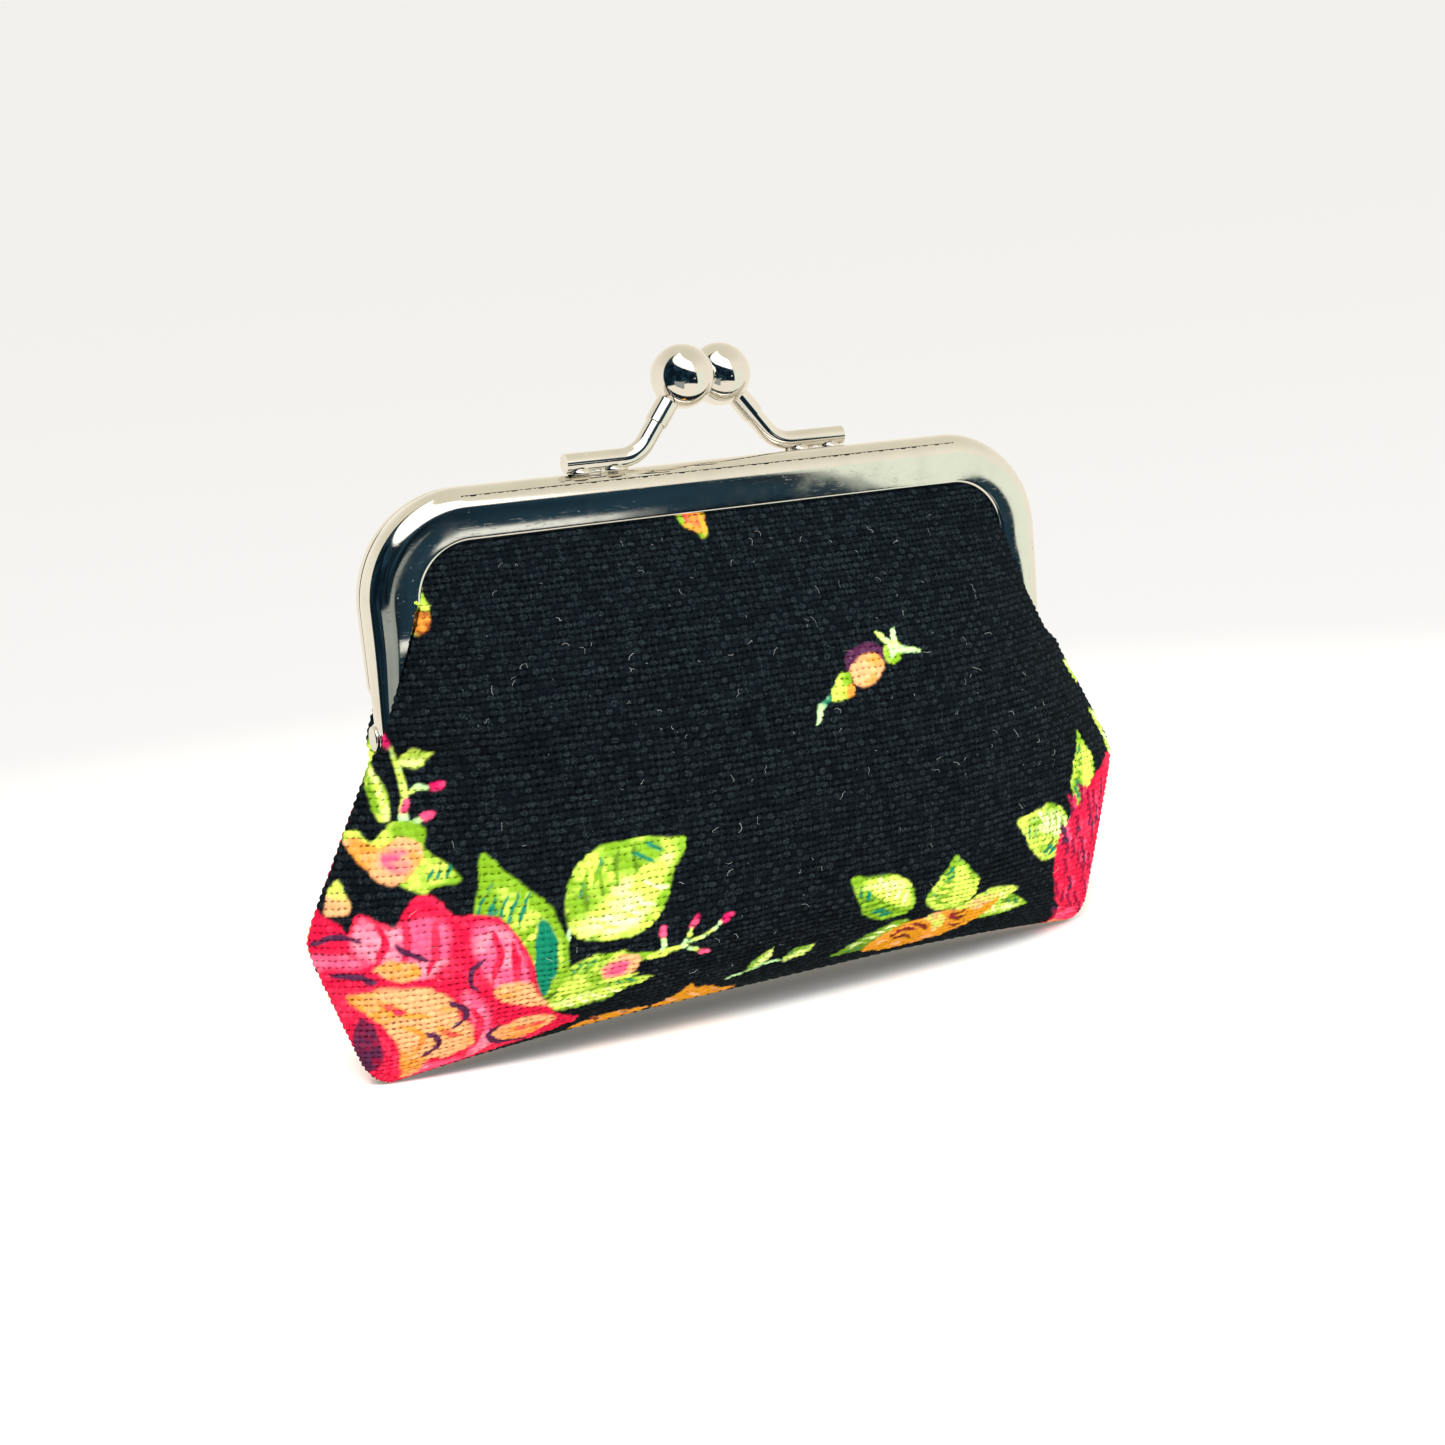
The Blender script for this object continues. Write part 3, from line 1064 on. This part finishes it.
def paint_right_side(painter):
    """The golden flower among its leaves, and the second rose at the right edge."""
    for leaf in (
        ((14.6, 15.8), (6.4, 22.6), 6.6, LIME, GREEN),
        ((15.0, 13.4), (5.2, 8.6), 3.6, GREEN, OLIVE),
        ((22.6, 13.6), (34.0, 11.4), 5.0, LIME, GREEN),
        ((24.0, 14.0), (31.4, 15.0), 3.4, LIME, LIME),
        ((20.8, 13.8), (20.8, 22.4), 7.4, LIME, GREEN, TEAL, LIME),
    ):
        paint_leaf(painter, *leaf)
    paint_gold_flower(painter, (18.4, 11.0), -4, 1.0)
    paint_leaf(painter, (44.6, 23.4), (44.4, 33.0), 6.0, LIME, GREEN, TEAL, LIME)
    paint_leaf(painter, (41.0, 20.2), (30.6, 24.4), 7.0, GREEN, LIME)
    paint_rose(painter, (53.0, 13.6), 14, 1.0, -1)
    painter.blob([(38.4, 19.4), (40.4, 22.4), (44.0, 24.6), (48.0, 27.0), (56.0, 27.4), (56.0, 6.0),
                  (46.0, 4.0),
                  (40.6, 9.6), (38.6, 14.6)], CRIMSON, SCARLET)
    for row in range(7):
        for step in range(5):
            x = 40.4 + 2.7 * step + 0.9 * math.sin(2.3 * row + step)
            y = 7.4 + 2.8 * row + 0.8 * math.sin(1.7 * step + 2.1 * row)
            painter.stroke([(x - 0.5, y + 1.5), (x + 0.6, y + 0.1), (x + 0.1, y - 1.4)], 1.1, WINE, PLUM)
            painter.stroke([(x + 0.8, y + 1.3), (x + 1.4, y - 0.5)], 0.9, SCARLET, PINK)
    painter.blob([(41.6, 6.6), (44.4, 8.0), (46.4, 5.0), (44.6, 3.0), (42.4, 4.2)], PINK, SCARLET)
    for x, y, tip in ((51.8, 38.4, (47.6, 41.2)), (54.6, 31.8, (50.8, 34.6)), (55.4, 28.6, (52.2, 31.8))):
        paint_leaf(painter, (x, y), tip, 2.2, PALE, LIME, GREEN)


def paint_top(painter):
    """The loose bud in the open black, and two small pieces that the frame cuts off."""
    painter.place((10.9, 46.2), -68, 0.82)
    painter.blob([(-2.2, -2.4), (-2.9, 0.6), (-1.8, 3.2), (0.8, 3.4), (2.4, 0.4), (1.4, -2.6)], PLUM)
    painter.blob([(-1.2, -2.2), (-1.6, 0.6), (-0.6, 2.6), (1.6, 2.6), (2.6, 0.4), (1.8, -2.2),
                  (0.2, -2.9)], PEACH, AMBER)
    painter.place((0, 0))
    painter.blob([(8.6, 45.8), (7.0, 45.4), (5.6, 43.2), (7.2, 42.9), (8.4, 43.6)], GREEN, LIME)
    painter.blob([(8.8, 44.6), (7.8, 44.0), (8.0, 43.2), (9.0, 43.6)], AMBER)
    painter.stroke([(5.8, 43.6), (4.4, 42.4), (3.6, 40.6)], 0.7, PALE, TEAL)
    painter.blob([(13.6, 47.8), (15.4, 48.6), (16.4, 47.4), (15.2, 46.0), (13.8, 46.4)], GREEN, LIME)
    for tip in ((13.4, 49.8), (16.0, 50.0), (18.8, 46.8)):
        painter.stroke([(14.6, 46.8), (15.0, 47.6), tip], 0.8, PALE, LIME)
    painter.blob([(-6.0, 67.6), (-5.6, 65.6), (-4.6, 64.9), (-4.0, 63.8), (-3.3, 64.9),
                  (-2.9, 67.6)], GREEN, AMBER)
    painter.blob([(-5.2, 67.6), (-4.7, 65.5), (-3.9, 65.3), (-3.5, 67.6)], SCARLET, AMBER)
    painter.blob([(-38.4, 63.4), (-36.9, 62.2), (-36.7, 59.2), (-37.4, 57.2), (-38.8, 57.0)], GREEN, LIME)
    painter.blob([(-38.6, 59.2), (-36.8, 59.2), (-37.2, 56.8), (-38.6, 56.6)], AMBER, RUST)


def paint_front(painter):
    paint_right_side(painter)
    paint_low_middle(painter)
    paint_left_corner(painter)
    paint_top(painter)


def paint_rear(painter):
    """The same kind of motifs, laid out differently: roses low at both sides, buds above."""
    for leaf in (
        ((33.0, 26.6), (29.4, 37.4), 7.4, GREEN, LIME),
        ((27.6, 21.8), (16.4, 28.6), 8.0),
        ((44.6, 33.0), (48.8, 43.0), 4.6, GREEN, LIME),
    ):
        paint_leaf(painter, *leaf)
    paint_rose(painter, (41.6, 20.8), 16, 1.0, 1)
    paint_bud(painter, (24.0, 17.6), 70, 0.9, PEACH, SCARLET)
    paint_tips(painter, (21.0, 18.4), [(17.4, 19.6), (14.6, 21.6), (18.0, 16.4)])
    paint_gold_flower(painter, (5.6, 15.2), -2, 1.0)
    for leaf in (
        ((1.0, 17.2), (-3.2, 24.0), 4.4),
        ((10.0, 17.2), (13.2, 22.8), 3.8, GREEN, LIME),
        ((-31.0, 27.4), (-24.0, 35.8), 6.4),
        ((-34.4, 13.8), (-22.2, 16.8), 5.6, GREEN, LIME),
    ):
        paint_leaf(painter, *leaf)
    paint_rose(painter, (-42.0, 21.6), -20, 0.94, -1)
    paint_bud(painter, (-13.6, 46.0), 32, 0.85, AMBER, SCARLET, 4.0)
    paint_leaf(painter, (-15.0, 41.2), (-19.4, 42.6), 2.2)
    paint_bud(painter, (27.4, 55.0), -24, 0.8, PEACH, PINK, 4.5)
    paint_tips(painter, (2.0, 58.0), [(0.4, 61.2), (3.4, 61.6)])
    paint_leaf(painter, (2.0, 58.0), (0.6, 53.6), 2.0)
    painter.blob([(48.6, 38.6), (51.6, 36.4), (54.0, 31.6), (51.4, 30.0), (49.4, 33.6)], CRIMSON, PINK)
    painter.blob([(45.4, 45.4), (48.4, 44.0), (48.6, 41.0), (45.8, 42.0)], GREEN, LIME)
    painter.blob([(53.4, 28.6), (56.6, 26.4), (56.6, 22.0), (54.0, 23.2)], AMBER, PEACH)


def print_colour(across, up, side):
    painter = Painter(across, up, 41 if side == FRONT else 83)
    if side == FRONT:
        paint_front(painter)
    else:
        paint_rear(painter)
    return painter.colour.reshape(across.shape + (3,))


# --- canvas ---------------------------------------------------------------------------------------

# The flat cut of one half, in metres: its widest and tallest, and its area.
# The mesh: rows, columns from the middle to the edge, and columns in the hidden tail.
CANVAS_ROWS = 440
CANVAS_HALF = 318
CANVAS_TAIL = 20
# The weave: the spacing of its threads and the depth of its relief. The print follows the threads a
# little, so its edges step with the weave.
THREAD = 0.78
WARP_PITCH = THREAD * 0.98
RELIEF = 0.24
PRINT_PULL = 0.22
CLEAR_OF_FLOOR = 0.02
LINT_COUNT = 150


def blend_cloth(piece):
    """Bend a cloth piece at the hinge. Inner layers bend lower, so that the fold's layers stay in order."""
    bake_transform(piece)


def cloth_coordinates(along, grid):
    """Where each point lies on the flat cloth: across from the middle, and up from the base's middle."""
    gaps = np.linalg.norm(np.diff(grid, axis=1), axis=2)
    across = np.concatenate([np.zeros((len(grid), 1)), np.cumsum(gaps, axis=1)], axis=1)
    middle = grid.shape[1] // 2
    across = across - across[:, middle:middle + 1]
    return across, np.repeat(along[:, None], grid.shape[1], axis=1)


def weave(across, up, seed):
    """Plain weave: relief from 0 to 1, the middle of each crossing, and a random shade for each float."""
    drift_a = 0.12 * lattice_noise(up / 9.0, across / 14.0, seed)
    drift_a = drift_a + 0.11 * lattice_noise(up / 1.1, across / 2.0, seed + 1)
    drift_b = 0.14 * lattice_noise(across / 11.0, up / 14.0, seed + 2)
    drift_b = drift_b + 0.09 * lattice_noise(across / 1.2, up / 2.0, seed + 3)
    s, t = (across + drift_a) / WARP_PITCH, (up + drift_b) / THREAD
    i, j = np.floor(s), np.floor(t)
    fa, fb = s - i - 0.5, t - j - 0.5
    warp_width = 0.30 + 0.11 * lattice_noise(i * 7.31, up / 1.6, seed + 4)
    weft_width = 0.425 + 0.10 * lattice_noise(j * 5.17, across / 1.6, seed + 5)
    warp_round = np.sqrt(np.clip(1 - (fa / warp_width) ** 2, 0, 1))
    weft_round = np.sqrt(np.clip(1 - (fb / weft_width) ** 2, 0, 1))
    warp_on_top = (i + j) % 2 == 0
    rise_up, rise_across = 0.5 + 0.5 * np.cos(2 * np.pi * fb), 0.5 + 0.5 * np.cos(2 * np.pi * fa)
    plateau = 1 - np.abs(2 * fa) ** 4
    warp_height = warp_round * np.where(warp_on_top, 0.40 + 0.42 * rise_up, 0.36 - 0.36 * rise_up)
    weft_height = weft_round * np.where(warp_on_top, 0.56 - 0.46 * rise_across, 0.60 + 0.40 * plateau)
    height = np.maximum(warp_height, weft_height)
    shade = lattice_noise(i * 3.1 + 0.5, j * 2.7 + 0.5, seed + 6)
    centre_a, centre_b = (i + 0.5) * WARP_PITCH - drift_a, (j + 0.5) * THREAD - drift_b
    return height, shade, centre_a, centre_b


def swells(grid, side):
    """Small unevenness of the filled cloth: how far it stands out from its smooth shape."""
    x, z = grid[..., 0] * -side, grid[..., 2]
    width = np.maximum(seam_half_width(z, 1), 1.0)
    inside = smooth(np.abs(x) / width, 0.98, 0.80) * smooth(z, 0.5, 5.0) * smooth(z, 57.0, 53.0)
    wide_waves = 0.30 * lattice_noise(x / 17.0, z / 13.0, 11 + side)
    small_waves = 0.12 * lattice_noise(x / 6.0, z / 5.0, 15 + side)
    return (wide_waves + small_waves) * inside


def make_canvas(name, side, material):
    """The printed canvas of one half: the mesh carries every thread, and its points carry the print."""
    along, depths, heights = centre_line(CANVAS_ROWS)
    grid = fill_grid(depths, heights, CANVAS_HALF, CANVAS_TAIL, side, canvas_row)
    if side == REAR:
        grid[..., 0] *= -1.0
    across, up = cloth_coordinates(along, grid)
    grid[..., 1] += swells(grid, side)
    height, shade, centre_a, centre_b = weave(across, up, 31 if side == FRONT else 67)
    grid = grid + outward_normals(grid) * ((height - 0.5) * RELIEF)[..., None]
    points = grid * np.array([1.0, side, 1.0])
    points[..., 2] = np.maximum(points[..., 2], CLEAR_OF_FLOOR)
    piece = make_mesh(name, points.reshape(-1, 3), grid_faces(*grid.shape[:2], flip=side == REAR))
    pulled_across, pulled_up = across + PRINT_PULL * (centre_a - across), up + PRINT_PULL * (centre_b - up)
    colour = print_colour(pulled_across, pulled_up, side)
    opaque = np.ones(colour.shape[:2] + (1,))
    add_values(piece, "print", np.concatenate([colour, opaque], axis=2), "FLOAT_COLOR")
    add_values(piece, "relief", height)
    add_values(piece, "shade", shade)
    piece.data.materials.append(material)
    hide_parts(f"{HALF_NAME[side]}_outer_canvas_panel", "outer_canvas_pouch")
    blend_cloth(piece)
    return piece, grid


def fibre_tube(line, normal, radius):
    """The points of a thin square tube round a line."""
    last = len(line) - 1
    tube = []
    for k in range(len(line)):
        ahead = unit(line[min(k + 1, last)] - line[max(k - 1, 0)])
        out = unit(np.cross(ahead, normal))
        up = np.cross(out, ahead)
        for angle in ring_turns(4):
            tube.append(line[k] + radius * (math.cos(angle) * out + math.sin(angle) * up))
    return np.array(tube)


def make_lint(name, side, grid, material, count):
    """Stray cotton fibres that curl off the canvas, each a tiny tube."""
    draw = np.random.default_rng(7 if side == FRONT else 8)
    normals = outward_normals(grid)
    line_steps = 12
    points, faces = [], []
    rows, columns = grid.shape[:2]
    for _ in range(count):
        i = draw.integers(int(rows * 0.14), int(rows * 0.90))
        j = draw.integers(int(columns * 0.12), int(columns * 0.88))
        length = draw.uniform(0.25, 1.3)
        heading = draw.normal(math.pi / 2, 0.9)
        turn = draw.normal(0, 0.7)
        lift = draw.uniform(0.05, 0.25)
        radius = draw.uniform(0.008, 0.018)
        line = []
        for t in np.linspace(0, 1, 9):
            way = heading + turn * t
            step = length * t / 0.17
            a = int(np.clip(i + step * math.sin(way), 0, rows - 1))
            b = int(np.clip(j + step * math.cos(way), 0, columns - 1))
            line.append(grid[a, b] + normals[a, b] * (0.06 + lift * math.sin(math.pi * t)))
        faces.append(grid_faces(line_steps, 4, wrap=True, first=len(points) * 4 * line_steps))
        points.append(fibre_tube(resample(line, line_steps), normals[i, j], radius))
    points = np.concatenate(points) * np.array([1.0, side, 1.0])
    points[:, 2] = np.maximum(points[:, 2], 0.05)
    piece = make_mesh(name, points, np.concatenate(faces))
    piece.data.materials.append(material)
    blend_cloth(piece)


def fibre_material(name, dark, light, noise, roughness, bump=0.0):
    """Fibres of two shades. The noise is its scale, detail and roughness."""
    material, nodes, shader = new_material(name)
    fibre = nodes.noise(*noise, nodes.place())
    nodes.put(shader.inputs["Base Color"], nodes.mix(fibre, dark, light))
    shader.inputs["Roughness"].default_value = roughness
    if bump:
        nodes.put(shader.inputs["Normal"], nodes.bump(fibre, 0.5, bump))
    return material


def canvas_material():
    """Printed cotton: the print is full on the thread tops and darker in the gaps, with fine pale fuzz."""
    material, nodes, shader = new_material("printed_canvas")
    colour = nodes.attribute("print", "Color")
    relief = nodes.attribute("relief")
    shade = nodes.attribute("shade")
    place = nodes.place()
    fibre = nodes.noise(5200.0, 3.0, 0.7, place)
    depth = nodes.ramp(relief, 0.02, 0.42, 0.24, 0.90)
    uneven = nodes.math("MULTIPLY_ADD", shade, 0.10, depth)
    uneven = nodes.math("MULTIPLY_ADD", nodes.math("SUBTRACT", fibre, 0.5), 0.30, uneven)
    grey = nodes.add("ShaderNodeCombineColor", {0: uneven, 1: uneven, 2: uneven}).outputs[0]
    printed = nodes.mix(1.0, colour, grey, "MULTIPLY")
    worn = nodes.math("MULTIPLY", nodes.ramp(relief, 0.28, 0.72), nodes.ramp(fibre, 0.38, 0.70))
    worn = nodes.math("MULTIPLY", worn, nodes.ramp(shade, -0.8, 0.8, 0.01, 0.07))
    speck = nodes.ramp(nodes.noise(2300.0, 2.0, 0.6, place), 0.72, 0.78, 0.0, 0.22)
    pale = nodes.math("MAXIMUM", worn, speck)
    nodes.put(shader.inputs["Base Color"], nodes.mix(pale, printed, (0.34, 0.48, 0.54, 1)))
    shader.inputs["Roughness"].default_value = 0.82
    shader.inputs["Specular IOR Level"].default_value = 0.05
    nodes.put(shader.inputs["Normal"], nodes.bump(fibre, 0.5, 0.0001))
    return material


# --- wadding and lining ---------------------------------------------------------------------------

# The mesh of a layer, as for the canvas, and how high it reaches in the channel.
LAYER_ROWS = 110
LAYER_HALF = 64
LAYER_TAIL = 8
LAYER_TOP = 62.2


def inner_row(depth, z, way, inset, slot):
    """One row of a layer inside the canvas, which tucks into the channel without passing over its face."""
    lifting = float(smooth(z, 30.0, 36.5))
    low_width = seam_half_width(z, way) - 2.4 - 3 * inset
    high_width = mouth_half_width(z) - 0.5 if z > SHOULDER else FACE_EDGE - 0.5
    width = low_width * (1 - lifting) + high_width * lifting
    edge = slot * lifting
    reach = float(smooth(z, 41.4, 43.4))
    end = max(width + 0.3, width + (slot_half_width(z) - width) * reach)
    tail = np.stack([np.linspace(width, end, 6), np.full(6, edge)], axis=1)
    return bulge(width, edge, max(depth, edge + 0.02), 300), tail


def inner_surface(inset, slot, side):
    """One face of a layer, inset from the canvas's outer face, as a grid with half depth positive."""
    along, depths, heights = centre_line(LAYER_ROWS)
    slope_z, slope_y = np.gradient(heights), np.gradient(depths)
    length = np.hypot(slope_z, slope_y) + 1e-9
    depths_in = np.maximum(depths - inset * slope_z / length, 0.0)
    heights_in = heights + inset * slope_y / length
    in_slot = smooth(heights, 55.6, 57.5)
    depths_in = depths_in * (1 - in_slot) + slot * in_slot
    heights_in = heights_in * (1 - in_slot) + np.minimum(heights, LAYER_TOP) * in_slot
    heights_in = np.maximum.accumulate(np.maximum(heights_in, inset))
    row = partial(inner_row, inset=inset, slot=slot)
    return along, fill_grid(depths_in, heights_in, LAYER_HALF, LAYER_TAIL, side, row)


def shell_faces(rows, columns):
    """The faces of a closed shell between two grids of the same size."""
    size = rows * columns
    outer = grid_faces(rows, columns)
    inner = grid_faces(rows, columns, flip=True, first=size)
    rim = list(range(columns))
    rim += [i * columns + columns - 1 for i in range(1, rows)]
    rim += [(rows - 1) * columns + i for i in range(columns - 2, -1, -1)]
    rim += [i * columns for i in range(rows - 2, 0, -1)]
    rim = np.array(rim)
    after = np.roll(rim, -1)
    side = np.stack([after, rim, rim + size, after + size], axis=1)
    return np.concatenate([outer, inner, side])


def make_layer(name, side, layer, limits, slots, material, puff):
    """A layer inside the canvas. The limits are the insets of its outer and inner face."""
    along, outer = inner_surface(limits[0], slots[0], side)
    _, inner = inner_surface(limits[1], slots[1], side)
    grids = [outer, inner]
    if side == REAR:
        for grid in grids:
            grid[..., 0] *= -1.0
    across, up = cloth_coordinates(along, outer)
    for grid in grids:
        grid[..., 1] += swells(grid, side) * smooth(grid[..., 2], 58, 54)
        lumps = puff * lattice_noise(across / 5.0, up / 5.0, 5 + side)
        grid[..., 1] += lumps * smooth(grid[..., 2], 55, 49)
        grid[..., 1] = np.maximum(grid[..., 1], 0.0)
    points = np.concatenate([(grid * np.array([1.0, side, 1.0])).reshape(-1, 3) for grid in grids])
    piece = make_mesh(name, points, shell_faces(*outer.shape[:2]))
    recalculate_normals(piece)
    flat = np.stack([across, up, np.zeros_like(up)], axis=2).reshape(-1, 3)
    add_values(piece, "flat", np.concatenate([flat, flat]), "FLOAT_VECTOR")
    piece.data.materials.append(material)
    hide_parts(f"{HALF_NAME[side]}_{layer}_panel", f"{layer}_pouch")
    blend_cloth(piece)
    return piece


def lining_material():
    """Plain black cotton with a fine weave."""
    material, nodes, shader = new_material("lining_cotton")
    flat = nodes.attribute("flat", "Vector")
    waves = []
    for axis in (0, 1):
        part = nodes.add("ShaderNodeSeparateXYZ", {0: flat}).outputs[axis]
        waves.append(nodes.math("SINE", nodes.math("MULTIPLY", part, 2 * math.pi / 0.42)))
    weave_height = nodes.math("MULTIPLY", waves[0], waves[1])
    fuzz = nodes.noise(3.0, 3.0, 0.6, flat)
    base = nodes.mix(nodes.ramp(weave_height, -1, 1), rgb(17, 18, 20), rgb(40, 42, 45))
    pale = nodes.ramp(fuzz, 0.6, 0.8, 0, 0.3)
    nodes.put(shader.inputs["Base Color"], nodes.mix(pale, base, rgb(70, 72, 75)))
    shader.inputs["Roughness"].default_value = 0.8
    shader.inputs["Sheen Weight"].default_value = 0.15
    nodes.put(shader.inputs["Normal"], nodes.bump(weave_height, 0.5, 0.00008))
    return material


def wadding_material():
    """Thin off-white polyester wadding."""
    material, nodes, shader = new_material("wadding_fleece")
    flat = nodes.attribute("flat", "Vector")
    strands = nodes.noise(2.2, 5.0, 0.75, nodes.scaled(flat, (1.0, 0.35, 1.0), (0, 0, 0.6)))
    nodes.put(shader.inputs["Base Color"], nodes.mix(strands, rgb(214, 211, 203), rgb(246, 244, 238)))
    shader.inputs["Roughness"].default_value = 0.95
    shader.inputs["Sheen Weight"].default_value = 0.4
    nodes.put(shader.inputs["Normal"], nodes.bump(strands, 0.6, 0.0003))
    return material


# --- assembly -------------------------------------------------------------------------------------


def dress_nodes(names, material):
    for name in names:
        node = frame["nodes"][name]
        node.data.materials.clear()
        node.data.materials.append(material)


def set_stage():
    make_camera()
    set_view()
    make_world()
    make_lights()
    make_reflector()
    make_floor()


def make_metal():
    """The frames, the solder, and the materials of the rivets, the clasp's arms and its balls."""
    clasp_nickel = nickel("clasp_nickel", (0.84, 0.80, 0.74), 0.05, 90.0)
    make_frames(nickel("frame_nickel", (0.83, 0.80, 0.73), 0.055, 60.0))
    make_solder(clasp_nickel)
    rivet_nickel = nickel("rivet_nickel", (0.79, 0.76, 0.70), 0.12, 120.0)
    dress_nodes(["left_hinge_rivet", "right_hinge_rivet"], rivet_nickel)
    dress_nodes([f"{half}_clasp_{part}" for half, _ in HALVES for part in ("arm", "ball")], clasp_nickel)


def make_cords():
    """Kraft paper cords in the channels, and black polyester stitches in the seams."""
    kraft, pale_kraft = rgb(146, 116, 78), rgb(206, 182, 140)
    paper = fibre_material("packing_paper", kraft, pale_kraft, (2600.0, 4.0, 0.7), 0.85, 0.00006)
    black, grey = rgb(12, 13, 16), rgb(48, 50, 54)
    thread = fibre_material("seam_thread", black, grey, (4200.0, 3.0, 0.6), 0.7)
    make_packing_cords(paper)
    make_seam_threads(thread)


def make_cloth():
    """The three cloth layers of each half, and what each is declared as."""
    cloth, lining, wadding = canvas_material(), lining_material(), wadding_material()
    lint = fibre_material("cotton_lint", rgb(120, 130, 134), rgb(216, 220, 216), (900.0, 2.0, 0.5), 0.9)
    for half, side in HALVES:
        canvas, surface = make_canvas(f"{half}_canvas", side, cloth)
        make_lint(f"{half}_lint", side, surface, lint, LINT_COUNT)
        fleece = make_layer(
            f"{half}_wadding", side, "wadding", (0.62, 1.05), (2.4, 2.0), wadding, 0.05)
        inside = make_layer(
            f"{half}_lining", side, "lining", (1.15, 1.42), (1.9, 1.65), lining, 0.08)


set_stage()
make_metal()
make_cords()
make_cloth()
